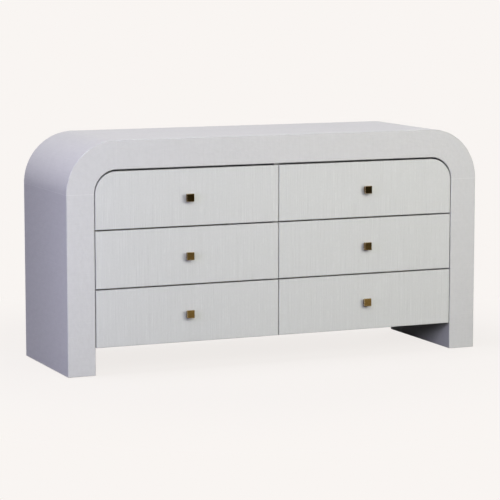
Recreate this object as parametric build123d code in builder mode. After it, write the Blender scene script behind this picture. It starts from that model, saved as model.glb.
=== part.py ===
"""Six-drawer dresser with a waterfall shell: a thick band that runs up one side, over the top and down the other.

The shell is built up from hollow panels and two rounded corners. Inside it a partition and a bottom panel make
two bays of three drawers. Each drawer is a dovetailed box on a pair of telescopic ball runners, with an applied
front that lies flush in the shell. Millimetres, +X to the right, +Y to the back and +Z up, with the origin on
the floor at the centre of the footprint, knobs included.
"""

import os
from math import radians, sqrt, tan

from build123d import *

# Overall sizes of the shell
WIDTH = 1600.0
DEPTH = 480.0
HEIGHT = 824.0
SHELL = 102.0  # thickness of the band
OUTER_RADIUS = 185.0  # rounded top corners, outside
EDGE_RADIUS = 2.0  # softened long edges of the band

# Hollow panels of the shell
SKIN = 15.0
STILE = 30.0
FOOT_RAIL = 60.0
JOIN_DEPTH = 40.0  # how far a joining block reaches into each of its two pieces

# Panels inside the shell
BOTTOM_THICKNESS = 22.0
BOTTOM_RISE = 1.0  # underside of the bottom panel above the lower edge of the fronts
BOTTOM_DADO = 7.0
PARTITION = 19.0
PARTITION_DADO = 5.0
BACK_THICKNESS = 8.0
BACK_RECESS = 2.0
REBATE = 10.0
FIT = 0.1  # clearance on each side of a glued fit

# Drawer fronts
UNDER_CLEARANCE = 100.0  # floor to the lower edge of the lowest fronts
FRONT_THICKNESS = 20.0
FRONT_STANDOFF = 2.0  # back of a closed front to the panels behind it
FRONT_EDGE = 1.5
TOP_GAP = 6.5
ROW_GAP = 5.0
SIDE_GAP = 3.0
CENTRE_GAP = 2.5
ROWS = ("lower", "middle", "upper")
COLUMNS = {"left": -1, "right": 1}

# Drawer boxes
BOX_SIDE = 12.0
BOX_FRONT = 15.0
BOX_BACK = 12.0
BOX_FLOOR = 6.0
GROOVE_DEPTH = 6.0
GROOVE_RISE = 10.0  # lower edge of the box to the groove for its bottom
BOX_FLOOR_GAP = 6.0  # lowest box above the bottom panel
BOX_ARCH_GAP = 10.0  # highest box below the rounded corner of the shell
BOX_BACK_GAP = 20.0
TAILS = 3
PIN_WIDTH = 8.0
TAIL_SLOPE = 10.0  # degrees

# Telescopic runners: three nested channels of rolled steel, with ball cages in the races between them
RUNNER_SPACE = 12.7
RUNNER_HEIGHT = 45.5
RUNNER_RISE = 10.0  # lower edge of the box to the lower edge of its runners
RUNNER_SETBACK = 4.0
RUNNER_TAIL = 26.0
SHEET = 1.2
BEND = 1.2  # bevel at each bend
LIP = 3.1
CABINET_MOUTH_GAP = 3.1  # mouth of the cabinet channel to the box
CENTRE_MOUTH_GAP = 1.7  # mouth of the centre channel to the box
CENTRE_OFFSET = 3.0  # wall to the web of the centre channel
CENTRE_WEB_GAP = 0.8  # web of the centre channel to the drawer channel
OUTER_RACE = 5.0
INNER_RACE = 5.8
CAGE_LENGTH = 120.0
CAGE_INSET = 10.0
CAGE_CLEARANCE = 0.3

# Knobs
KNOB_FACE = 28.0
KNOB_HEAD = 8.0
KNOB_PROJECTION = 22.0
KNOB_NECK = 13.0
KNOB_BASE = 18.0
KNOB_EDGE = 1.2

# Floor glides
GLIDE_HEIGHT = 3.0
GLIDE_RADIUS = 14.0
GLIDE_EDGE = 1.0
GLIDE_INSET = 55.0

# Planes and levels that the pieces share
FRONT_Y = KNOB_PROJECTION - (DEPTH + KNOB_PROJECTION) / 2
BACK_Y = FRONT_Y + DEPTH
MIDDLE_Y = (FRONT_Y + BACK_Y) / 2
INNER_HALF = WIDTH / 2 - SHELL
INNER_TOP = HEIGHT - SHELL
INNER_RADIUS = OUTER_RADIUS - SHELL
ARC_X = WIDTH / 2 - OUTER_RADIUS
ARC_Z = HEIGHT - OUTER_RADIUS
BAND_X = WIDTH / 2 - SHELL / 2
BAND_Z = HEIGHT - SHELL / 2
PANEL_FRONT_Y = FRONT_Y + FRONT_THICKNESS + FRONT_STANDOFF
REBATE_Y = BACK_Y - BACK_RECESS - BACK_THICKNESS
BOTTOM_Z = UNDER_CLEARANCE + BOTTOM_RISE
BOTTOM_TOP = BOTTOM_Z + BOTTOM_THICKNESS
CORE = SHELL - 2 * SKIN
CORE_FRONT_Y = FRONT_Y + STILE
CORE_BACK_Y = BACK_Y - STILE

# Drawer layout
FRONT_HEIGHT = (INNER_TOP - TOP_GAP - UNDER_CLEARANCE - (len(ROWS) - 1) * ROW_GAP) / len(ROWS)
FRONT_WIDTH = INNER_HALF - SIDE_GAP - CENTRE_GAP / 2
FRONT_X = (CENTRE_GAP + FRONT_WIDTH) / 2
FRONT_BACK_Y = FRONT_Y + FRONT_THICKNESS
BAY_WIDTH = INNER_HALF - PARTITION / 2
BAY_X = (INNER_HALF + PARTITION / 2) / 2
BOX_WIDTH = BAY_WIDTH - 2 * RUNNER_SPACE
BOX_INNER = BOX_WIDTH - 2 * BOX_SIDE
BOX_LIFT = BOTTOM_RISE + BOTTOM_THICKNESS + BOX_FLOOR_GAP
BOX_INNER_FRONT_Y = FRONT_BACK_Y + BOX_FRONT
BOX_END_Y = REBATE_Y - BOX_BACK_GAP
BOX_INNER_BACK_Y = BOX_END_Y - BOX_BACK
ARCH_REACH = max(INNER_RADIUS - RUNNER_SPACE, 0.0)
ARCH_Z = ARC_Z + sqrt(INNER_RADIUS**2 - ARCH_REACH**2)  # shell above the outer face of an upper box
UPPER_FRONT_Z = INNER_TOP - TOP_GAP - FRONT_HEIGHT
BOX_HEIGHT = ARCH_Z - BOX_ARCH_GAP - UPPER_FRONT_Z - BOX_LIFT
RUNNER_FLAT = ARC_Z - UPPER_FRONT_Z - RUNNER_HEIGHT  # highest place for a runner on the flat of a side
RUNNER_LIFT = min(BOX_LIFT + RUNNER_RISE, RUNNER_FLAT) + RUNNER_HEIGHT / 2
RUNNER_FRONT_Y = FRONT_BACK_Y + RUNNER_SETBACK
RUNNER_BACK_Y = BOX_END_Y - RUNNER_TAIL
CABINET_CHANNEL = RUNNER_SPACE - CABINET_MOUTH_GAP
CENTRE_CHANNEL = RUNNER_SPACE - CENTRE_OFFSET - CENTRE_MOUTH_GAP
DRAWER_CHANNEL = RUNNER_SPACE - CENTRE_OFFSET - SHEET - CENTRE_WEB_GAP
CENTRE_HEIGHT = RUNNER_HEIGHT - 2 * (SHEET + OUTER_RACE)
DRAWER_HEIGHT = CENTRE_HEIGHT - 2 * (SHEET + INNER_RACE)

LOW_CORNER = (Align.MIN, Align.MIN, Align.MIN)


def upright(y):
    """Upright plane across the dresser at depth y, seen from the front: local x is +X, local y is +Z."""
    return Plane.XZ.offset(-y)


def block(low, high, mode=Mode.ADD):
    """Box between two corner points."""
    with Locations(low):
        Box(*[b - a for a, b in zip(low, high)], align=LOW_CORNER, mode=mode)


def spread(low, high, count):
    """Evenly spaced places from low to high."""
    return [low + (high - low) * i / (count - 1) for i in range(count)]


def save(piece, name):
    piece.label = name
    export_step(piece, f"parts/{name}.step")


def save_both(piece, name):
    """Piece of the left half, and its mirror image in the right half."""
    save(piece, f"left_{name}")
    with BuildPart() as right:
        mirror(piece, about=Plane.YZ)
    save(right.part, f"right_{name}")


# Shell: hollow sides, rounded corners, hollow top and the blocks that join them


def side_panel():
    """Hollow left side, open at the top where the corner sits on it."""
    with BuildPart() as side:
        block((-WIDTH / 2, FRONT_Y, GLIDE_HEIGHT), (-INNER_HALF, BACK_Y, ARC_Z))
        joint = side.faces().sort_by(Axis.Z)[-1]
        fillet(side.edges() - joint.edges(), radius=EDGE_RADIUS)
        block(
            (-BAND_X - CORE / 2, CORE_FRONT_Y, GLIDE_HEIGHT + FOOT_RAIL),
            (-BAND_X + CORE / 2, CORE_BACK_Y, ARC_Z),
            mode=Mode.SUBTRACT,
        )
        block(
            (-INNER_HALF - REBATE, REBATE_Y, BOTTOM_Z - FIT),
            (-INNER_HALF, BACK_Y, ARC_Z),
            mode=Mode.SUBTRACT,
        )
        block(
            (-INNER_HALF - BOTTOM_DADO, PANEL_FRONT_Y - FIT, BOTTOM_Z - FIT),
            (-INNER_HALF, REBATE_Y, BOTTOM_TOP + FIT),
            mode=Mode.SUBTRACT,
        )
    return side.part


def quarter_ring(y, outer_radius, inner_radius):
    """Upright quarter ring about the centre of the left corner's curve."""
    with BuildSketch(upright(y)) as ring:
        with BuildLine():
            outer = CenterArc((-ARC_X, ARC_Z), outer_radius, 90, 90)
            inner = CenterArc((-ARC_X, ARC_Z), inner_radius, 90, 90)
            Line(outer @ 0, inner @ 0)
            Line(outer @ 1, inner @ 1)
        make_face()
    return ring.sketch


def corner():
    """Left rounded corner, built up solid, with a mortise in each end and a rebate for the back panel."""
    with BuildPart() as bend:
        extrude(quarter_ring(FRONT_Y, OUTER_RADIUS, INNER_RADIUS), amount=-DEPTH)
        fillet(bend.edges().filter_by(GeomType.CIRCLE), radius=EDGE_RADIUS)
        extrude(
            quarter_ring(REBATE_Y, INNER_RADIUS + REBATE, INNER_RADIUS),
            amount=REBATE_Y - BACK_Y,
            mode=Mode.SUBTRACT,
        )
        block(
            (-BAND_X - CORE / 2, CORE_FRONT_Y, ARC_Z),
            (-BAND_X + CORE / 2, CORE_BACK_Y, ARC_Z + JOIN_DEPTH),
            mode=Mode.SUBTRACT,
        )
        block(
            (-ARC_X - JOIN_DEPTH, CORE_FRONT_Y, BAND_Z - CORE / 2),
            (-ARC_X, CORE_BACK_Y, BAND_Z + CORE / 2),
            mode=Mode.SUBTRACT,
        )
    return bend.part


def top_panel():
    """Hollow top between the two corners, open at both ends."""
    with BuildPart() as top:
        block((-ARC_X, FRONT_Y, INNER_TOP), (ARC_X, BACK_Y, HEIGHT))
        fillet(top.edges().filter_by(Axis.X), radius=EDGE_RADIUS)
        block(
            (-ARC_X, CORE_FRONT_Y, BAND_Z - CORE / 2),
            (ARC_X, CORE_BACK_Y, BAND_Z + CORE / 2),
            mode=Mode.SUBTRACT,
        )
        block((-ARC_X, REBATE_Y, INNER_TOP), (ARC_X, BACK_Y, INNER_TOP + REBATE), mode=Mode.SUBTRACT)
        block(
            (-PARTITION / 2 - FIT, PANEL_FRONT_Y - FIT, INNER_TOP),
            (PARTITION / 2 + FIT, REBATE_Y, INNER_TOP + PARTITION_DADO),
            mode=Mode.SUBTRACT,
        )
    return top.part


def joining_blocks():
    """Glued blocks in the mortises between each corner, its side panel and the top."""
    half = CORE / 2 - FIT
    reach = JOIN_DEPTH - FIT
    with BuildPart() as blocks:
        for sign in COLUMNS.values():
            block(
                (sign * BAND_X - half, CORE_FRONT_Y + FIT, ARC_Z - reach),
                (sign * BAND_X + half, CORE_BACK_Y - FIT, ARC_Z + reach),
            )
            block(
                (sign * ARC_X - reach, CORE_FRONT_Y + FIT, BAND_Z - half),
                (sign * ARC_X + reach, CORE_BACK_Y - FIT, BAND_Z + half),
            )
    return blocks.part


# Panels inside the shell


def bottom_panel():
    """Bottom let into both sides, with a groove for the partition."""
    half = INNER_HALF + BOTTOM_DADO - FIT
    with BuildPart() as bottom:
        block((-half, PANEL_FRONT_Y, BOTTOM_Z), (half, REBATE_Y - FIT, BOTTOM_TOP))
        block(
            (-PARTITION / 2 - FIT, PANEL_FRONT_Y, BOTTOM_TOP - PARTITION_DADO),
            (PARTITION / 2 + FIT, REBATE_Y, BOTTOM_TOP),
            mode=Mode.SUBTRACT,
        )
    return bottom.part


def centre_partition():
    """Upright between the two bays, let into the bottom and the top."""
    with BuildPart() as partition:
        block(
            (-PARTITION / 2, PANEL_FRONT_Y, BOTTOM_TOP - PARTITION_DADO + FIT),
            (PARTITION / 2, REBATE_Y - FIT, INNER_TOP + PARTITION_DADO - FIT),
        )
    return partition.part


def back_panel():
    """Back board in the rebate round the shell, with the same rounded top corners."""
    width = 2 * (INNER_HALF + REBATE - FIT)
    height = INNER_TOP + REBATE - FIT - BOTTOM_Z
    with BuildPart() as back:
        with BuildSketch(upright(REBATE_Y)) as outline:
            with Locations((0, BOTTOM_Z)):
                Rectangle(width, height, align=(Align.CENTER, Align.MIN))
            fillet(outline.vertices().group_by(Axis.Y)[-1], radius=INNER_RADIUS + REBATE - FIT)
        extrude(amount=-BACK_THICKNESS)
    return back.part


def floor_glides():
    """Round nylon glides, two under the foot of each side panel."""
    with BuildPart() as glides:
        with BuildSketch(Plane.XY):
            with Locations((0, MIDDLE_Y)):
                with GridLocations(2 * BAND_X, DEPTH - 2 * GLIDE_INSET, 2, 2):
                    Circle(GLIDE_RADIUS)
        extrude(amount=GLIDE_HEIGHT)
        chamfer(glides.faces().group_by(Axis.Z)[0].edges(), length=GLIDE_EDGE)
    return glides.part


# Telescopic runners


def front_level(row):
    """Height of the lower edge of the fronts in a row."""
    return UNDER_CLEARANCE + ROWS.index(row) * (FRONT_HEIGHT + ROW_GAP)


def runner_walls(column, row):
    """Wall position, inward direction and centre height of the two runners of one drawer."""
    centre = COLUMNS[column] * BAY_X
    z = front_level(row) + RUNNER_LIFT
    return [(centre - BAY_WIDTH / 2, 1, z), (centre + BAY_WIDTH / 2, -1, z)]


def channel(web_x, opens, z, depth, height, lip):
    """Rolled channel along Y with its web at web_x, open towards +X or -X, with lips turned in at the mouth."""
    middle = web_x + opens * depth / 2
    mouth = web_x + opens * (depth - SHEET / 2)
    with BuildSketch(upright(RUNNER_FRONT_Y)) as profile:
        with Locations((middle, z)):
            Rectangle(depth, height)
        chamfer(profile.vertices(), length=BEND)
        with Locations((middle, z)):
            Rectangle(depth - 2 * SHEET, height - 2 * SHEET, mode=Mode.SUBTRACT)
        with Locations((mouth, z)):
            Rectangle(SHEET, height - 2 * (SHEET + lip), mode=Mode.SUBTRACT)
    extrude(profile.sketch, amount=RUNNER_FRONT_Y - RUNNER_BACK_Y)


def cabinet_runners():
    """Outer channels of all twelve runners, fixed to the sides and the partition."""
    with BuildPart() as runners:
        for column in COLUMNS:
            for row in ROWS:
                for wall, inward, z in runner_walls(column, row):
                    channel(wall, inward, z, CABINET_CHANNEL, RUNNER_HEIGHT, LIP)
    return runners.part


def centre_runners(column, row):
    """Centre channels of one drawer, with the ball cages that run in their outer and inner races."""
    lip_gap = SHEET + CAGE_CLEARANCE
    outer_race = (CENTRE_OFFSET, CABINET_CHANNEL - lip_gap, CENTRE_HEIGHT, OUTER_RACE)
    inner_race = (CENTRE_OFFSET + lip_gap, CENTRE_OFFSET + CENTRE_CHANNEL - lip_gap, DRAWER_HEIGHT, INNER_RACE)
    outer_start = RUNNER_BACK_Y - CAGE_INSET - CAGE_LENGTH
    inner_start = RUNNER_FRONT_Y + CAGE_INSET
    with BuildPart() as runners:
        for wall, inward, z in runner_walls(column, row):
            channel(wall + inward * CENTRE_OFFSET, inward, z, CENTRE_CHANNEL, CENTRE_HEIGHT, LIP)
            for (near, far, inside, race), start in ((outer_race, outer_start), (inner_race, inner_start)):
                x = wall + inward * (near + far) / 2
                rise = (inside + race) / 2
                with BuildSketch(upright(start)):
                    with Locations((x, z - rise), (x, z + rise)):
                        Rectangle(far - near, race - 2 * CAGE_CLEARANCE)
                extrude(amount=-CAGE_LENGTH)
    return runners.part


def drawer_runners(column, row):
    """Inner channels of one drawer, fixed to the outside of its box."""
    with BuildPart() as runners:
        for wall, inward, z in runner_walls(column, row):
            channel(wall + inward * RUNNER_SPACE, -inward, z, DRAWER_CHANNEL, DRAWER_HEIGHT, 0.0)
    return runners.part


# Drawers


def knob_point(column, row):
    """Centre of a drawer front, where its knob sits."""
    return (COLUMNS[column] * FRONT_X, FRONT_Y, front_level(row) + FRONT_HEIGHT / 2)


def drawer_front(column, row):
    """Applied front, with one corner rounded where it meets a rounded corner of the shell."""
    sign = COLUMNS[column]
    x, _, z = knob_point(column, row)
    with BuildPart() as front:
        with BuildSketch(upright(FRONT_Y)) as outline:
            with Locations((x, z)):
                Rectangle(FRONT_WIDTH, FRONT_HEIGHT)
            if row == ROWS[-1]:
                shell_corner = outline.vertices().group_by(Axis.Y)[-1].sort_by(Axis.X)[0 if sign < 0 else -1]
                fillet(shell_corner, radius=INNER_RADIUS - SIDE_GAP)
        extrude(amount=-FRONT_THICKNESS)
        fillet(front.faces().sort_by(Axis.Y)[0].edges(), radius=FRONT_EDGE)
    return front.part


def box_level(row):
    """Height of the lower edge of the drawer boxes in a row."""
    return front_level(row) + BOX_LIFT


def box_faces(column):
    """Outer face and inward direction of the two sides of the boxes in a column."""
    centre = COLUMNS[column] * BAY_X
    return [(centre - BOX_WIDTH / 2, 1), (centre + BOX_WIDTH / 2, -1)]


def pins(face, end_y, shoulder_y, low, high, mode):
    """Dovetail pins at one corner of a box: narrow at the end of the side, wide at its shoulder."""
    x, inward = face
    flare = abs(shoulder_y - end_y) * tan(radians(TAIL_SLOPE))
    with BuildSketch(Plane.YZ.offset(x)) as profile:
        for centre in spread(low, high, TAILS + 1):
            narrow = [min(max(centre + s * PIN_WIDTH / 2, low), high) for s in (-1, 1)]
            wide = [min(max(centre + s * (PIN_WIDTH / 2 + flare), low), high) for s in (-1, 1)]
            with BuildLine():
                Polyline(
                    (end_y, narrow[0]),
                    (shoulder_y, wide[0]),
                    (shoulder_y, wide[1]),
                    (end_y, narrow[1]),
                    close=True,
                )
            make_face()
    extrude(profile.sketch, amount=inward * BOX_SIDE, mode=mode)


def inner_front(column, row):
    """Front board of a box, with dovetail pins and a groove for the bottom."""
    low = box_level(row)
    centre = COLUMNS[column] * BAY_X
    with BuildPart() as board:
        block(
            (centre - BOX_INNER / 2, FRONT_BACK_Y, low),
            (centre + BOX_INNER / 2, BOX_INNER_FRONT_Y, low + BOX_HEIGHT),
        )
        for face in box_faces(column):
            pins(face, FRONT_BACK_Y, BOX_INNER_FRONT_Y, low, low + BOX_HEIGHT, Mode.ADD)
        block(
            (centre - BOX_INNER / 2, BOX_INNER_FRONT_Y - GROOVE_DEPTH, low + GROOVE_RISE - FIT),
            (centre + BOX_INNER / 2, BOX_INNER_FRONT_Y, low + GROOVE_RISE + BOX_FLOOR + FIT),
            mode=Mode.SUBTRACT,
        )
    return board.part


def box_back(column, row):
    """Back board of a box, which stands on the bottom and is dovetailed into the sides."""
    low = box_level(row) + GROOVE_RISE + BOX_FLOOR + FIT
    high = box_level(row) + BOX_HEIGHT
    centre = COLUMNS[column] * BAY_X
    with BuildPart() as board:
        block(
            (centre - BOX_INNER / 2, BOX_INNER_BACK_Y, low),
            (centre + BOX_INNER / 2, BOX_END_Y, high),
        )
        for face in box_faces(column):
            pins(face, BOX_END_Y, BOX_INNER_BACK_Y, low, high, Mode.ADD)
    return board.part


def box_sides(column, row):
    """Two sides of a box, with tails at both ends and a groove for the bottom."""
    low = box_level(row)
    high = low + BOX_HEIGHT
    floor_top = low + GROOVE_RISE + BOX_FLOOR + FIT
    with BuildPart() as boards:
        for x, inward in box_faces(column):
            outer, inner = sorted((x, x + inward * BOX_SIDE))
            block((outer, FRONT_BACK_Y, low), (inner, BOX_END_Y, high))
        for x, inward in box_faces(column):
            pins((x, inward), FRONT_BACK_Y, BOX_INNER_FRONT_Y, low, high, Mode.SUBTRACT)
            pins((x, inward), BOX_END_Y, BOX_INNER_BACK_Y, floor_top, high, Mode.SUBTRACT)
            outer, inner = sorted((x + inward * (BOX_SIDE - GROOVE_DEPTH), x + inward * BOX_SIDE))
            block(
                (outer, BOX_INNER_FRONT_Y - GROOVE_DEPTH, low + GROOVE_RISE - FIT),
                (inner, BOX_END_Y, floor_top),
                mode=Mode.SUBTRACT,
            )
    return boards.part


def box_bottom(column, row):
    """Thin bottom in the grooves of the sides and the inner front, running out under the back."""
    low = box_level(row) + GROOVE_RISE
    centre = COLUMNS[column] * BAY_X
    half = BOX_INNER / 2 + GROOVE_DEPTH - FIT
    with BuildPart() as floor:
        block(
            (centre - half, BOX_INNER_FRONT_Y - GROOVE_DEPTH + FIT, low),
            (centre + half, BOX_END_Y, low + BOX_FLOOR),
        )
    return floor.part


def knob(column, row):
    """Square knob on a tapered neck."""
    x, y, z = knob_point(column, row)
    head_y = y - KNOB_PROJECTION
    with BuildPart() as pull:
        with BuildSketch(upright(head_y)) as face:
            with Locations((x, z)):
                Rectangle(KNOB_FACE, KNOB_FACE)
            fillet(face.vertices(), radius=KNOB_EDGE)
        extrude(amount=-KNOB_HEAD)
        chamfer(pull.faces().sort_by(Axis.Y)[0].edges(), length=KNOB_EDGE)
        with BuildSketch(upright(head_y + KNOB_HEAD)):
            with Locations((x, z)):
                Rectangle(KNOB_NECK, KNOB_NECK)
        with BuildSketch(upright(y)):
            with Locations((x, z)):
                Rectangle(KNOB_BASE, KNOB_BASE)
        loft()
    return pull.part


# Write every piece

os.makedirs("parts", exist_ok=True)

save_both(side_panel(), "side_panel")
save_both(corner(), "corner")
save(top_panel(), "top_panel")
save(joining_blocks(), "joining_blocks")
save(bottom_panel(), "bottom_panel")
save(centre_partition(), "centre_partition")
save(back_panel(), "back_panel")
save(floor_glides(), "floor_glides")
save(cabinet_runners(), "cabinet_runners")

for column in COLUMNS:
    for row in ROWS:
        name = f"{row}_{column}"
        save(drawer_front(column, row), f"{name}_drawer_front")
        save(inner_front(column, row), f"{name}_inner_front")
        save(box_sides(column, row), f"{name}_box_sides")
        save(box_back(column, row), f"{name}_box_back")
        save(box_bottom(column, row), f"{name}_box_bottom")
        save(knob(column, row), f"{name}_knob")
        save(drawer_runners(column, row), f"{name}_drawer_runners")
        save(centre_runners(column, row), f"{name}_centre_runners")
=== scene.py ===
from math import cos, pi, radians, sin

import bmesh
import bpy
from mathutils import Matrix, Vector


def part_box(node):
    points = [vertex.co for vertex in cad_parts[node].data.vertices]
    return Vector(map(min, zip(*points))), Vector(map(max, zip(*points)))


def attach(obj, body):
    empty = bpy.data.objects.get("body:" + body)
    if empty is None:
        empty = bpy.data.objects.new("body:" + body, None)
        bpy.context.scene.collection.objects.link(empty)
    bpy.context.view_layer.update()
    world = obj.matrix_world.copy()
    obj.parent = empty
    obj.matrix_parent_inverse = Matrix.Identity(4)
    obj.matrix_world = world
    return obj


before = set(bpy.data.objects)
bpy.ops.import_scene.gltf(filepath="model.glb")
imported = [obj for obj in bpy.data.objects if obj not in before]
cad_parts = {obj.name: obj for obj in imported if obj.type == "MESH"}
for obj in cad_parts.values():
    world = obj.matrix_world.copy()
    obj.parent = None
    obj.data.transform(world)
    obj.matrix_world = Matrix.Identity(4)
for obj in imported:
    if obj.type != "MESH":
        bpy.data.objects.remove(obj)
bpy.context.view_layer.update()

# Shell: two hollow sides, two rounded corners and the top make one thick band. Each is a board shape
# wrapped in a woven cloth and lacquered pale grey. The threads run across the band, so they go from its
# front edge to its back edge over the faces, and the wraps meet in a fine seam at each end of a corner.


class Shade:
    """An output socket in a material's node tree. Arithmetic on it adds Math nodes."""

    def __init__(self, tree, socket=None):
        self.tree = tree
        self.socket = socket

    def node(self, kind, settings, inputs, output=0):
        """Any node: its settings are set first, then the values or links of its sockets."""
        made = self.tree.nodes.new("ShaderNode" + kind)
        for name, value in settings.items():
            setattr(made, name, value)
        join(made, inputs)
        return Shade(self.tree, made.outputs[output])

    def math(self, operation, first, second=0.0):
        return self.node("Math", {"operation": operation}, {0: first, 1: second})

    def __add__(self, other):
        return self.math("ADD", self, other)

    def __sub__(self, other):
        return self.math("SUBTRACT", self, other)

    def __rsub__(self, other):
        return self.math("SUBTRACT", other, self)

    def __mul__(self, other):
        return self.math("MULTIPLY", self, other)

    def __truediv__(self, other):
        return self.math("DIVIDE", self, other)

    def __pow__(self, other):
        return self.math("POWER", self, other)

    def __lt__(self, other):
        return self.math("LESS_THAN", self, other)

    def __abs__(self):
        return self.math("ABSOLUTE", self)

    __radd__ = __add__
    __rmul__ = __mul__


def join(node, inputs):
    """Links or values for a node's sockets, by name or number."""
    for name, value in inputs.items():
        socket = node.inputs[name]
        if isinstance(value, Shade):
            value.tree.links.new(value.socket, socket)
        elif socket.type == "RGBA":
            socket.default_value = (*value, 1.0)
        else:
            socket.default_value = value


def finish(name):
    """New material, its shader, and the place of a point of the piece along X, Y and Z."""
    material = bpy.data.materials.new(name)
    material.use_nodes = True
    tree = material.node_tree
    place = Shade(tree).node("TexCoord", {}, {}, "Object")
    axes = [place.node("SeparateXYZ", {}, {0: place}, i) for i in range(3)]
    return material, tree.nodes["Principled BSDF"], axes


def dress(material, *names):
    """Gives CAD nodes their material."""
    for name in names:
        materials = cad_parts[name].data.materials
        materials.clear()
        materials.append(material)


NOISE_MEAN = 0.5


def noise(first, second, third=0.0, detail=2.0):
    """Soft noise from 0 to 1, one unit of the coordinates to a blotch."""
    vector = first.node("CombineXYZ", {}, {0: first, 1: second, 2: third})
    return vector.node("TexNoise", {}, {"Vector": vector, "Scale": 1.0, "Detail": detail})


def smooth(value, low, high):
    """0 up to low and 1 from high, with a soft step between."""
    limits = {"Value": value, "From Min": low, "From Max": high}
    return value.node("MapRange", {"interpolation_type": "SMOOTHSTEP"}, limits)


COLOUR_A, COLOUR_B, COLOUR_RESULT = 6, 7, 2  # numbers of a Mix node's colour sockets


def blend(share, first, second):
    """Colour between two colours."""
    sockets = {0: share, COLOUR_A: first, COLOUR_B: second}
    return share.node("Mix", {"data_type": "RGBA"}, sockets, COLOUR_RESULT)


def bump(height, depth, strength):
    """Normal of a surface with that relief, where depth in metres is a height of 1."""
    return height.node("Bump", {}, {"Height": height, "Distance": depth, "Strength": strength})


# Threads: how far one tone reaches across the laid threads and along them, in metres, and its seed
THREAD = (0.0009, 0.09, 0.0)
SLUB = (0.0021, 0.17, 7.3)
THICK_THREAD = (0.0024, 0.12, 2.9)
CROSS_THREAD = (0.05, 0.0011, 11.9)
DENSE_PATCH = (0.03, 0.022, 9.7)
THICK_STEP, PATCH_STEP = (0.58, 0.74), (0.36, 0.64)
THREAD_TONE, THICK_TONE = 0.35, 0.25  # beside a slub's 1
LAID_MEAN = 0.64
PATCH_LEAST, PATCH_GAIN = 0.25, 1.4  # how much the threads show, from patch to patch
THREAD_HEIGHT, CROSS_HEIGHT = 0.6, 0.4


def weave(across, along, seed):
    """Woven cloth: tones about 0 of the threads laid one way and of those across them, and its relief."""

    def tone(reach_across, reach_along, own_seed, detail=2.0):
        return noise(across / reach_across, along / reach_along, seed + own_seed, detail)

    thread = tone(*THREAD)
    slub = tone(*SLUB)
    thick = smooth(tone(*THICK_THREAD), *THICK_STEP)
    patch = smooth(tone(*DENSE_PATCH, detail=3.0), *PATCH_STEP)
    crossing = tone(*CROSS_THREAD)
    laid = thread * THREAD_TONE + slub - thick * THICK_TONE - LAID_MEAN
    laid = laid * (PATCH_LEAST + patch * PATCH_GAIN)
    return laid, crossing - NOISE_MEAN, thread * THREAD_HEIGHT + crossing * CROSS_HEIGHT


EDGE_BAND_WIDTH = 0.005
EDGE_BAND_PATCH, EDGE_BAND_SEED = 0.02, 4.0


def rubbed_and_shaded(from_edge, first, second):
    """1 at an edge that hands and dusters have rubbed and that is painted darker as shade, fading out
    unevenly over a few millimetres.
    """
    patches = noise(first / EDGE_BAND_PATCH, second / EDGE_BAND_PATCH, EDGE_BAND_SEED, detail=3.0) - NOISE_MEAN
    return 1 - smooth(from_edge + patches * EDGE_BAND_WIDTH, 0.0, EDGE_BAND_WIDTH)


CLOTH_ROUGHNESS, CLOTH_SPECULAR = 0.56, 0.12
CLOTH_RELIEF, CLOTH_BUMP = 0.00035, 0.5
THREAD_GLOSS = 0.1
# The first of these takes tone off the edges: painted shade along the edges and beside the gaps, laid over
# the wear.
WEAR_AND_SHADE_TONE, WORN_GLOSS, WORN_FLAT = 0.38, 0.1, 0.6


def wrap(shader, tone, relief, worn_and_shaded, light, dark):
    """Lacquered cloth: darker in the hollows between its threads, and smoother on worn edges, which are also
    painted darker as shade.
    """
    raised = relief * (1 - worn_and_shaded * WORN_FLAT)
    join(shader, {
        "Base Color": blend(tone - worn_and_shaded * WEAR_AND_SHADE_TONE, dark, light),
        "Roughness": CLOTH_ROUGHNESS - tone * THREAD_GLOSS - worn_and_shaded * WORN_GLOSS,
        "Specular IOR Level": CLOTH_SPECULAR,
        "Normal": bump(raised, CLOTH_RELIEF, CLOTH_BUMP),
    })


corner_low, corner_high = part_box("left_corner")
side_low, side_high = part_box("left_side_panel")
ARC_X, ARC_Z = -corner_high.x, corner_low.z
OUTER_RADIUS = corner_high.z - corner_low.z
BAND = side_high.x - side_low.x
INNER_RADIUS = OUTER_RADIUS - BAND
MIDDLE_RADIUS = OUTER_RADIUS - BAND / 2
QUARTER = MIDDLE_RADIUS * pi / 2

SHELL_LIGHT = (0.700, 0.696, 0.708)
SHELL_DARK = (0.535, 0.531, 0.545)
SHELL_LAID, SHELL_CROSS, SHELL_MOTTLE = 0.25, 0.2, 0.3
BLOTCH_ALONG, BLOTCH_ACROSS, BLOTCH_SEED = 0.016, 0.012, 5.7
BLOTCH_DRAWN = 0.4  # blotches are drawn out over the depth
BLOTCH_HEIGHT = 3.5
SEAM_HALF_WIDTH = 0.0009
SEAM_TONE, SEAM_DEPTH = 0.4, 0.5
UPPER_SEAM = 0.3  # the upper seam shows less

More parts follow.
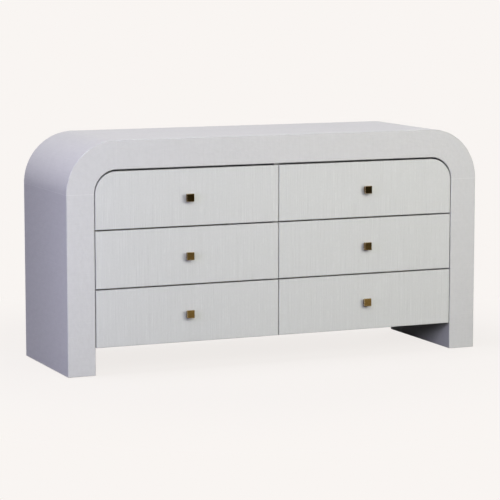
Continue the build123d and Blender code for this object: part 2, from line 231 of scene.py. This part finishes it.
shell_wrap, shader, (x, y, z) = finish("shell_wrap")
outward = x.math("MAXIMUM", abs(x) - ARC_X)
upward = x.math("MAXIMUM", z - ARC_Z)
radius = (outward * outward + upward * upward) ** 0.5
turn = x.math("ARCTAN2", upward, outward)
from_floor = x.math("MINIMUM", z, ARC_Z) + turn * MIDDLE_RADIUS + x.math("MAXIMUM", ARC_X - abs(x))
from_middle = ARC_Z + QUARTER + ARC_X - from_floor
along_band = from_middle * x.math("SIGN", x)
laid, crossing, relief = weave(along_band, y + radius, 0.0)
across_blotch = (y * BLOTCH_DRAWN + radius) / BLOTCH_ACROSS
mottle = noise(along_band / BLOTCH_ALONG, across_blotch, BLOTCH_SEED) - NOISE_MEAN
tone = laid * SHELL_LAID + crossing * SHELL_CROSS + mottle * SHELL_MOTTLE + NOISE_MEAN
relief = relief + mottle * BLOTCH_HEIGHT
upper, lower = [abs(from_middle - place) < SEAM_HALF_WIDTH for place in (ARC_X, ARC_X + QUARTER)]
seam = upper * UPPER_SEAM + lower
across_band = x.math("MINIMUM", OUTER_RADIUS - radius, radius - INNER_RADIUS)
across_depth = x.math("MINIMUM", y - side_low.y, side_high.y - y)
# Painted shade: the band's edges are painted darker, as well as worn smoother.
worn_and_shaded = rubbed_and_shaded(x.math("MAXIMUM", across_band, across_depth), from_middle, y)
wrap(shader, tone + seam * SEAM_TONE, relief - seam * SEAM_DEPTH, worn_and_shaded, SHELL_LIGHT, SHELL_DARK)
dress(shell_wrap, "left_side_panel", "right_side_panel", "left_corner", "right_corner", "top_panel")

# Joining blocks: solid blocks glued into the mortises between the corners and their neighbours. They are
# out of sight inside the shell, in plain sawn softwood.

X, Y, Z = 0, 1, 2
DRIFT_LENGTH, DRIFT_WIDTH, DRIFT_REACH = 0.45, 0.06, 0.014  # of the growth lines off a straight course
GROWTH_WIDTH, GROWTH_LENGTH, GROWTH_SLANT = 0.0045, 1.6, 0.6
FIBRE_WIDTH, FIBRE_LENGTH = 0.0006, 0.022
PORE_WIDTH, PORE_LENGTH = 0.0011, 0.012
PORE_STEP, END_STEP, WOOD_STEP = (0.64, 0.72), (0.5, 0.9), (0.22, 0.78)
GROWTH_TONE, FIBRE_TONE, PORE_TONE, END_TONE = 0.62, 0.38, 0.22, 0.35
PORE_DULL = 0.2
WOOD_RELIEF, WOOD_BUMP = 0.0002, 0.35


def timber(name, axes, light, dark, roughness=0.5):
    """Sawn wood with its grain along the first of three axes: growth lines, fibres, pores, darker ends."""
    material, shader, place = finish(name)
    u, v, w = [place[i] for i in axes]
    drift = noise(u / DRIFT_LENGTH, v / DRIFT_WIDTH, w / DRIFT_WIDTH) * DRIFT_REACH
    growth = noise((v + w * GROWTH_SLANT + drift) / GROWTH_WIDTH, u / GROWTH_LENGTH, detail=3.0)
    fibre = noise(v / FIBRE_WIDTH, w / FIBRE_WIDTH, u / FIBRE_LENGTH, detail=3.0)
    pore = smooth(noise(v / PORE_WIDTH, w / PORE_WIDTH, u / PORE_LENGTH, detail=1.0), *PORE_STEP)
    facing = u.node("TexCoord", {}, {}, "Normal")
    end = smooth(abs(facing.node("SeparateXYZ", {}, {0: facing}, axes[0])), *END_STEP)
    tone = growth * GROWTH_TONE + fibre * FIBRE_TONE - pore * PORE_TONE - end * END_TONE
    join(shader, {
        "Base Color": blend(smooth(tone, *WOOD_STEP), dark, light),
        "Roughness": roughness + pore * PORE_DULL,
        "Normal": bump(fibre - pore, WOOD_RELIEF, WOOD_BUMP),
    })
    return material


SOFTWOOD_LIGHT = (0.72, 0.55, 0.35)
SOFTWOOD_DARK = (0.50, 0.33, 0.17)
softwood = timber("sawn_softwood", (Y, Z, X), SOFTWOOD_LIGHT, SOFTWOOD_DARK, roughness=0.7)
dress(softwood, "joining_blocks")

# Bottom panel and centre partition: boards glued into grooves, the bottom between the sides and the
# partition between the top and the bottom. They are painted the pale grey of the wrap, matt, with the slight
# grain that a paint roller leaves.

ROLLER, PAINT_CLOUD = 0.0016, 0.09
ROLLER_TONE, CLOUD_TONE = 0.4, 0.6
PAINT_ROUGHNESS, ROLLER_DULL = 0.62, 0.12
PAINT_RELIEF, PAINT_BUMP = 0.00012, 0.4


def painted_board(name, light, dark):
    """Matt paint with the grain of a roller and faint clouds."""
    material, shader, (x, y, z) = finish(name)
    roller = noise(x / ROLLER, y / ROLLER, z / ROLLER)
    cloud = noise(x / PAINT_CLOUD, y / PAINT_CLOUD, z / PAINT_CLOUD)
    join(shader, {
        "Base Color": blend(roller * ROLLER_TONE + cloud * CLOUD_TONE, dark, light),
        "Roughness": PAINT_ROUGHNESS + roller * ROLLER_DULL,
        "Normal": bump(roller, PAINT_RELIEF, PAINT_BUMP),
    })
    return material


carcass_paint = painted_board("carcass_paint", (0.66, 0.65, 0.64), (0.58, 0.57, 0.56))
dress(carcass_paint, "bottom_panel", "centre_partition")

# Back panel: a thin painted board in a rebate round the shell, held by pan-head screws into the shell, the
# partition and the bottom.

dress(painted_board("back_paint", (0.63, 0.62, 0.60), (0.54, 0.53, 0.51)), "back_panel")

DRAWING_WIDTH, DRAWING_LENGTH = 0.0005, 0.06
ZINC_CLOUD_LENGTH, ZINC_CLOUD_WIDTH = 0.03, 0.012
ZINC_DULL = 0.78
ZINC_CLOUD_TONE, DRAWING_TONE = 0.7, 0.3
ZINC_ROUGHNESS, ZINC_CLOUD_DULL = 0.26, 0.16
FINE_RELIEF, ZINC_BUMP = 0.00004, 0.3


def zinc(name, along, colour):
    """Zinc-plated steel with fine drawing lines along one axis and faint cloudy patches."""
    material, shader, place = finish(name)
    u = place[along]
    v, w = [place[i] for i in (X, Y, Z) if i != along]
    lines = noise(v / DRAWING_WIDTH, w / DRAWING_WIDTH, u / DRAWING_LENGTH)
    cloud = noise(u / ZINC_CLOUD_LENGTH, v / ZINC_CLOUD_WIDTH, w / ZINC_CLOUD_WIDTH)
    dull = [c * ZINC_DULL for c in colour]
    join(shader, {
        "Base Color": blend(cloud * ZINC_CLOUD_TONE + lines * DRAWING_TONE, dull, colour),
        "Metallic": 1.0,
        "Roughness": ZINC_ROUGHNESS + cloud * ZINC_CLOUD_DULL,
        "Normal": bump(lines, FINE_RELIEF, ZINC_BUMP),
    })
    return material


screw_zinc = zinc("screw_zinc", Z, (0.62, 0.61, 0.58))

# Rings of a pan head from its rim to its middle: share of the radius, share of the height
HEAD_RINGS = ((1.0, 0.0), (1.0, 0.3), (0.94, 0.6), (0.8, 0.84),
              (0.6, 0.96), (0.54, 0.97), (0.27, 1.0), (0.22, 1.0))
HEAD_SIDES, RECESS_ARMS = 32, 4
RECESS = 0.54  # share of the radius that the cross recess reaches
RECESS_DEPTH = 0.6  # share of the height
SHARP_EDGE = radians(35)


def screw_head(mesh, point, outward, radius, height):
    """Adds a pan head with a cross recess to a mesh, seated at a point and facing outward."""
    turned = outward.to_track_quat("Z", "Y")
    arm_step = HEAD_SIDES // RECESS_ARMS
    rings = []
    for share, level in HEAD_RINGS:
        ring = []
        for side in range(HEAD_SIDES):
            angle = 2 * pi * side / HEAD_SIDES
            beside_arm = min(side % arm_step, -side % arm_step)
            sunk = share <= RECESS and beside_arm <= 1 or share == HEAD_RINGS[-1][0]
            rise = height * (level - RECESS_DEPTH * sunk)
            local = Vector((share * radius * cos(angle), share * radius * sin(angle), rise))
            ring.append(mesh.verts.new(point + turned @ local))
        rings.append(ring)
    for outer, inner in zip(rings, rings[1:]):
        for i in range(HEAD_SIDES):
            j = (i + 1) % HEAD_SIDES
            mesh.faces.new((outer[i], outer[j], inner[j], inner[i]))
    mesh.faces.new(rings[-1])
    mesh.faces.new(reversed(rings[0]))


def screws(name, body, places, radius, height):
    """Group of like screw heads that rides on a body, each head at a point and facing outward."""
    mesh = bmesh.new()
    for point, outward in places:
        screw_head(mesh, Vector(point), Vector(outward), radius, height)
    bmesh.ops.recalc_face_normals(mesh, faces=mesh.faces)
    data = bpy.data.meshes.new(name)
    mesh.to_mesh(data)
    mesh.free()
    data.materials.append(screw_zinc)
    data.shade_smooth()
    data.set_sharp_from_angle(angle=SHARP_EDGE)
    heads = bpy.data.objects.new(name, data)
    bpy.context.scene.collection.objects.link(heads)
    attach(heads, body)


def spread(low, high, count):
    """Evenly spaced places from low to high."""
    return [low + (high - low) * i / (count - 1) for i in range(count)]


BACK_SCREW_INSET = 0.006
BACK_SCREW_RADIUS, BACK_SCREW_HEIGHT = 0.0035, 0.0015
BACK_SCREWS_WIDE, BACK_SCREWS_UP, BACK_SCREWS_MIDDLE = 8, 4, 5
SHORT_OF_ARC = 0.02  # from the end of a straight row to the start of the curve
TO_BACK = (0, 1, 0)

back_low, back_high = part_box("back_panel")
edge = back_high.x - BACK_SCREW_INSET
row_end = ARC_X - SHORT_OF_ARC
top = back_high.z - BACK_SCREW_INSET
low = back_low.z + 2 * BACK_SCREW_INSET
arc = back_high.x - ARC_X - BACK_SCREW_INSET
spots = [(x, z) for z in (top, low) for x in spread(-row_end, row_end, BACK_SCREWS_WIDE)]
spots += [(0.0, z) for z in spread(low, top, BACK_SCREWS_MIDDLE)[1:-1]]
for sign in (-1, 1):
    spots += [(sign * edge, z) for z in spread(low, ARC_Z - SHORT_OF_ARC, BACK_SCREWS_UP)]
    spots.append((sign * (ARC_X + arc * cos(pi / 4)), ARC_Z + arc * sin(pi / 4)))
places = [((x, back_high.y, z), TO_BACK) for x, z in spots]
screws("back_panel_screws", "carcass", places, BACK_SCREW_RADIUS, BACK_SCREW_HEIGHT)

# Floor glides: round buttons moulded from pale nylon, two under the foot of each side. They are nailed on,
# and the floor scuffs them.

NYLON = (0.70, 0.69, 0.65)
NYLON_SCUFFED = (0.46, 0.45, 0.42)
NYLON_GRAIN = 0.0008
SCUFF_LENGTH, SCUFF_WIDTH, SCUFF_STEP = 0.004, 0.001, (0.55, 0.75)
NYLON_ROUGHNESS, NYLON_DULL = 0.45, 0.2
NYLON_RELIEF, NYLON_BUMP = 0.00015, 0.4

glide_nylon, shader, (x, y, z) = finish("glide_nylon")
grain = noise(x / NYLON_GRAIN, y / NYLON_GRAIN, z / NYLON_GRAIN, detail=3.0)
scuff = smooth(noise(x / SCUFF_LENGTH, y / SCUFF_WIDTH, z / SCUFF_LENGTH), *SCUFF_STEP)
join(shader, {
    "Base Color": blend(scuff, NYLON, NYLON_SCUFFED),
    "Roughness": NYLON_ROUGHNESS + grain * NYLON_DULL,
    "Normal": bump(grain, NYLON_RELIEF, NYLON_BUMP),
})
dress(glide_nylon, "floor_glides")

# Telescopic runners: channels rolled from zinc-plated strip, one in another, with ball cages between them.
# The outer channels are screwed to the sides and the partition, the inner ones to the drawer boxes.

DRAWERS = [f"{row}_{column}" for column in ("left", "right") for row in ("lower", "middle", "upper")]
SHEET = 0.0012
RUNNER_SCREW_RADIUS, RUNNER_SCREW_HEIGHT = 0.0038, 0.0013
RUNNER_SCREW_STEPS = (0.035, 0.163, 0.323)  # from the front end of a runner
TO_LEFT, TO_RIGHT = (-1, 0, 0), (1, 0, 0)

runner_zinc = zinc("runner_zinc", Y, (0.66, 0.67, 0.69))
dress(runner_zinc, "cabinet_runners")
cabinet_low, cabinet_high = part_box("cabinet_runners")
partition_low, partition_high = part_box("centre_partition")
cabinet_places = []
for drawer in DRAWERS:
    dress(runner_zinc, f"{drawer}_centre_runners", f"{drawer}_drawer_runners")
    low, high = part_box(f"{drawer}_drawer_runners")
    z = (low.z + high.z) / 2
    box_low, box_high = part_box(f"{drawer}_box_sides")
    walls = (cabinet_low.x, partition_low.x) if box_low.x < 0 else (partition_high.x, cabinet_high.x)
    places = []
    for step in RUNNER_SCREW_STEPS:
        y = low.y + step
        places += [((box_low.x - SHEET, y, z), TO_LEFT), ((box_high.x + SHEET, y, z), TO_RIGHT)]
        cabinet_places += [((walls[0] + SHEET, y, z), TO_RIGHT), ((walls[1] - SHEET, y, z), TO_LEFT)]
    screws(f"{drawer}_runner_screws", f"{drawer}_drawer", places, RUNNER_SCREW_RADIUS, RUNNER_SCREW_HEIGHT)
screws("cabinet_runner_screws", "carcass", cabinet_places, RUNNER_SCREW_RADIUS, RUNNER_SCREW_HEIGHT)

# Drawer boxes: solid pale hardwood, dovetailed at the corners, with a thin plywood bottom in grooves. The
# grain runs along each board, so the ends of the pins show end grain in the sides.

BOX_LIGHT = (0.70, 0.55, 0.37)
BOX_DARK = (0.54, 0.385, 0.225)
PLY_LIGHT = (0.74, 0.61, 0.43)
PLY_DARK = (0.60, 0.46, 0.30)

side_wood = timber("box_wood_sides", (Y, Z, X), BOX_LIGHT, BOX_DARK)
end_wood = timber("box_wood_ends", (X, Z, Y), BOX_LIGHT, BOX_DARK)
floor_wood = timber("box_floor_ply", (X, Y, Z), PLY_LIGHT, PLY_DARK)
for drawer in DRAWERS:
    dress(side_wood, f"{drawer}_box_sides")
    dress(end_wood, f"{drawer}_inner_front", f"{drawer}_box_back")
    dress(floor_wood, f"{drawer}_box_bottom")

# Drawer fronts: boards wrapped in the same cloth with the threads upright, each cut from its own length,
# and screwed to the boxes from inside.

FRONT_LIGHT = (0.710, 0.714, 0.717)
FRONT_DARK = (0.551, 0.554, 0.556)
FRONT_LAID, FRONT_CROSS, FRONT_MOTTLE = 0.75, 0.15, 0.3
FRONT_BLOTCH_WIDTH, FRONT_BLOTCH_HEIGHT = 0.006, 0.009
FIRST_SEED, SEED_STEP = 20.0, 5.0  # so that each front has threads of its own
ROUND_CORNER, SQUARE_CORNER = 0.08, 0.01  # radius by which the worn edge with its painted shade goes round the outer upper corner
FRONT_SCREW_RADIUS, FRONT_SCREW_HEIGHT = 0.0045, 0.0022
FRONT_SCREW_INSET_X, FRONT_SCREW_INSET_Z = 0.085, 0.03

for number, drawer in enumerate(DRAWERS):
    front_wrap, shader, (x, y, z) = finish(f"{drawer}_front_wrap")
    seed = FIRST_SEED + SEED_STEP * number
    laid, crossing, relief = weave(x, z - y, seed)
    mottle = noise(x / FRONT_BLOTCH_WIDTH, (z - y) / FRONT_BLOTCH_HEIGHT, seed) - NOISE_MEAN
    tone = laid * FRONT_LAID + crossing * FRONT_CROSS + mottle * FRONT_MOTTLE + NOISE_MEAN
    low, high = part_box(f"{drawer}_drawer_front")
    corner = ROUND_CORNER if drawer.startswith("upper") else SQUARE_CORNER
    beyond_x = x.math("MAXIMUM", abs(x) + corner - max(abs(low.x), abs(high.x)))
    beyond_z = x.math("MAXIMUM", z + corner - high.z)
    from_outside = corner - (beyond_x * beyond_x + beyond_z * beyond_z) ** 0.5
    from_inside = x.math("MINIMUM", abs(x) - min(abs(low.x), abs(high.x)), z - low.z)
    # Painted shade: the front's edges beside the gaps are painted darker, as well as worn smoother.
    worn_and_shaded = rubbed_and_shaded(x.math("MINIMUM", from_outside, from_inside), x, z)
    wrap(shader, tone, relief, worn_and_shaded, FRONT_LIGHT, FRONT_DARK)
    dress(front_wrap, f"{drawer}_drawer_front")
    low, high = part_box(f"{drawer}_inner_front")
    floor_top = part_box(f"{drawer}_box_bottom")[1].z
    places = [((x, high.y, z), TO_BACK)
              for x in (low.x + FRONT_SCREW_INSET_X, high.x - FRONT_SCREW_INSET_X)
              for z in (floor_top + FRONT_SCREW_INSET_Z, high.z - FRONT_SCREW_INSET_Z)]
    screws(f"{drawer}_front_screws", f"{drawer}_drawer", places, FRONT_SCREW_RADIUS, FRONT_SCREW_HEIGHT)

# Knobs: square pulls of cast brass, left to darken and then rubbed bright along the edges of the face. Each
# is held by a machine screw through the front, with a broad head inside the box.

KNOB_DARK = (0.105, 0.064, 0.018)
KNOB_BROWN = (0.22, 0.135, 0.040)
KNOB_RUBBED = (0.80, 0.65, 0.38)
PATINA = 0.006
BRUSH = (0.0004, 0.003, 0.007)
RUBBED_FROM, RUBBED_UNEVEN = 0.9, 0.12  # share of the way from the middle of the face to its edge
RUBBED_BACK, RUBBED_BACK_END = 0.0006, 0.002  # how far behind the face the rubbing fades
KNOB_ROUGHNESS, PATINA_DULL, RUBBED_DULL = 0.11, 0.06, 0.1
KNOB_BUMP = 0.12
KNOB_SCREW_RADIUS, KNOB_SCREW_HEIGHT = 0.0052, 0.0024

knob_brass, shader, (x, y, z) = finish("knob_brass")
place = x.node("TexCoord", {}, {}, "Generated")
u, _, v = [place.node("SeparateXYZ", {}, {0: place}, i) for i in range(3)]
rim = x.math("MAXIMUM", abs(u * 2 - 1), abs(v * 2 - 1))
patina = noise(x / PATINA, y / PATINA, z / PATINA, detail=4.0)
brush = noise(x / BRUSH[0], y / BRUSH[1], z / BRUSH[2])
from_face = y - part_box("upper_left_knob")[0].y
near_rim = smooth(rim + (patina - NOISE_MEAN) * RUBBED_UNEVEN, RUBBED_FROM, 1.0)
bright = near_rim * (1 - smooth(from_face, RUBBED_BACK, RUBBED_BACK_END))
aged = blend(patina, KNOB_DARK, KNOB_BROWN)
join(shader, {
    "Base Color": blend(bright, aged, KNOB_RUBBED),
    "Metallic": 1.0,
    "Roughness": KNOB_ROUGHNESS + patina * PATINA_DULL + bright * RUBBED_DULL,
    "Normal": bump(brush, FINE_RELIEF, KNOB_BUMP),
})
for drawer in DRAWERS:
    dress(knob_brass, f"{drawer}_knob")
    low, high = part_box(f"{drawer}_knob")
    centre = (low + high) / 2
    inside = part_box(f"{drawer}_inner_front")[1].y
    places = [((centre.x, inside, centre.z), TO_BACK)]
    screws(f"{drawer}_knob_screw", f"{drawer}_drawer", places, KNOB_SCREW_RADIUS, KNOB_SCREW_HEIGHT)

# Stage: a pale floor under a background of the same colour. The camera sees it almost evenly white, with a
# soft shadow near the dresser. Metal mirrors it as the lamps light it: pale paper round the dresser, and
# farther out a floor painted near black, as painted shade. It throws little light back.

BACKGROUND = (0.947, 0.913, 0.889)
PAPER = (0.65, 0.65, 0.65)
# Painted shade: the floor beyond the paper, seen only in reflections, is painted near black.
FAR_FLOOR_PAINTED_DARK = (0.03, 0.03, 0.03)
FLOOR_BOUNCE = (0.02, 0.02, 0.02)
AMBIENT = (0.012, 0.012, 0.0125)
FLOOR_HALF = 14.0
FLOOR_CORNERS = ((-1, -1), (1, -1), (1, 1), (-1, 1))
PAPER_EDGE, PAPER_END = 2.6, 3.9
SHADOW_SHARE = 0.12
SHADOW_INNER, SHADOW_OUTER = 0.8, 1.7

floor_mesh = bpy.data.meshes.new("floor")
floor_mesh.from_pydata([(x * FLOOR_HALF, y * FLOOR_HALF, 0) for x, y in FLOOR_CORNERS], [], [(0, 1, 2, 3)])
floor = bpy.data.objects.new("floor", floor_mesh)
bpy.context.scene.collection.objects.link(floor)


def ray(shade, kind):
    """1 for a ray of that kind, and 0 for others."""
    return shade.node("LightPath", {}, {}, f"Is {kind} Ray")


def mix(factor, first, second):
    """One shader, giving way to a second one as the factor goes from 0 to 1."""
    return factor.node("MixShader", {}, {0: factor, 1: first, 2: second})


floor_finish, _, (x, y, z) = finish("floor")
distance = (x * x + y * y) ** 0.5
near = (1 - smooth(distance, SHADOW_INNER, SHADOW_OUTER)) * SHADOW_SHARE
beyond_paper = smooth(distance, PAPER_EDGE, PAPER_END)
even = x.node("Emission", {}, {"Color": BACKGROUND})
paper, far_floor_painted_dark, bounce = [x.node("BsdfDiffuse", {}, {"Color": colour})
                               for colour in (PAPER, FAR_FLOOR_PAINTED_DARK, FLOOR_BOUNCE)]
lit = mix(beyond_paper, paper, far_floor_painted_dark)
in_view = x.math("MAXIMUM", ray(x, "Camera"), ray(x, "Transmission"))
surface = mix(in_view, mix(ray(x, "Glossy"), bounce, lit), mix(near, even, lit))
join(floor_finish.node_tree.nodes["Material Output"], {"Surface": surface})
floor_mesh.materials.append(floor_finish)

world = bpy.data.worlds.new("studio")
world.use_nodes = True
bpy.context.scene.world = world
air = Shade(world.node_tree)
mirrored = air.math("MAXIMUM", ray(air, "Glossy"), ray(air, "Transmission"))
in_view = air.math("MAXIMUM", ray(air, "Camera"), mirrored)
dim, white = [air.node("Background", {}, {"Color": colour}) for colour in (AMBIENT, BACKGROUND)]
join(world.node_tree.nodes["World Output"], {"Surface": mix(in_view, dim, white)})

# Lamps: soft boxes aimed at the middle of the dresser. A broad one in front and a warm one nearer and to
# the right light the fronts. A cool one and a small near one light the left side, one high on the left the
# top, and one behind the back. The two nearest and the rear one stay out of what the brass mirrors.

AIM = Vector((0.0, 0.0, 0.42))


def lamp(name, right, above, distance, width, height, power, colour):
    """Soft box at an angle to the right of straight in front, and above the level, in degrees."""
    data = bpy.data.lights.new(name, "AREA")
    data.shape = "RECTANGLE"
    data.size = width
    data.size_y = height
    data.energy = power
    data.color = colour
    made = bpy.data.objects.new(name, data)
    level = cos(radians(above))
    way = Vector((sin(radians(right)) * level, -cos(radians(right)) * level, sin(radians(above))))
    made.location = AIM + way * distance
    made.rotation_euler = way.to_track_quat("Z", "Y").to_euler()
    made.visible_camera = False
    bpy.context.scene.collection.objects.link(made)
    return made


key = lamp("key", 22, 14, 3.0, 1.4, 1.2, 27.8, (1.0, 0.96, 0.86))
lamp("front", -8, 26, 6.0, 6.0, 3.0, 250, (0.97, 1.0, 0.95))
lamp("fill", -58, 12, 4.0, 1.2, 1.2, 27.4, (0.61, 0.55, 1.0))
lamp("upper_left", -90, 71, 8.0, 4.0, 4.0, 395, (0.96, 0.95, 1.0))
left = lamp("left", -66, 0.5, 1.75, 0.4, 0.45, 2.35, (0.83, 0.85, 1.0))
rear = lamp("rear", 135, 14, 5.0, 2.0, 2.0, 130, (1.0, 1.0, 1.0))
for unmirrored in (key, left, rear):
    unmirrored.visible_glossy = False

# Camera at the photograph's viewing angle: to the left of the middle and above the top, with a long lens.
# Its place and angles come from a fit to the edges of the dresser.

CAMERA_PLACE = (-3.2087, -7.4019, 1.4296)
CAMERA_DOWN, CAMERA_RIGHT = 0.1291, 0.4075

camera_data = bpy.data.cameras.new("camera")
camera_data.sensor_width = 36.0
camera_data.lens = 158.9
camera = bpy.data.objects.new("camera", camera_data)
camera.location = CAMERA_PLACE
camera.rotation_euler = (pi / 2 - CAMERA_DOWN, 0.0, -CAMERA_RIGHT)
bpy.context.scene.collection.objects.link(camera)
bpy.context.scene.camera = camera
bpy.context.scene.view_settings.view_transform = "Standard"
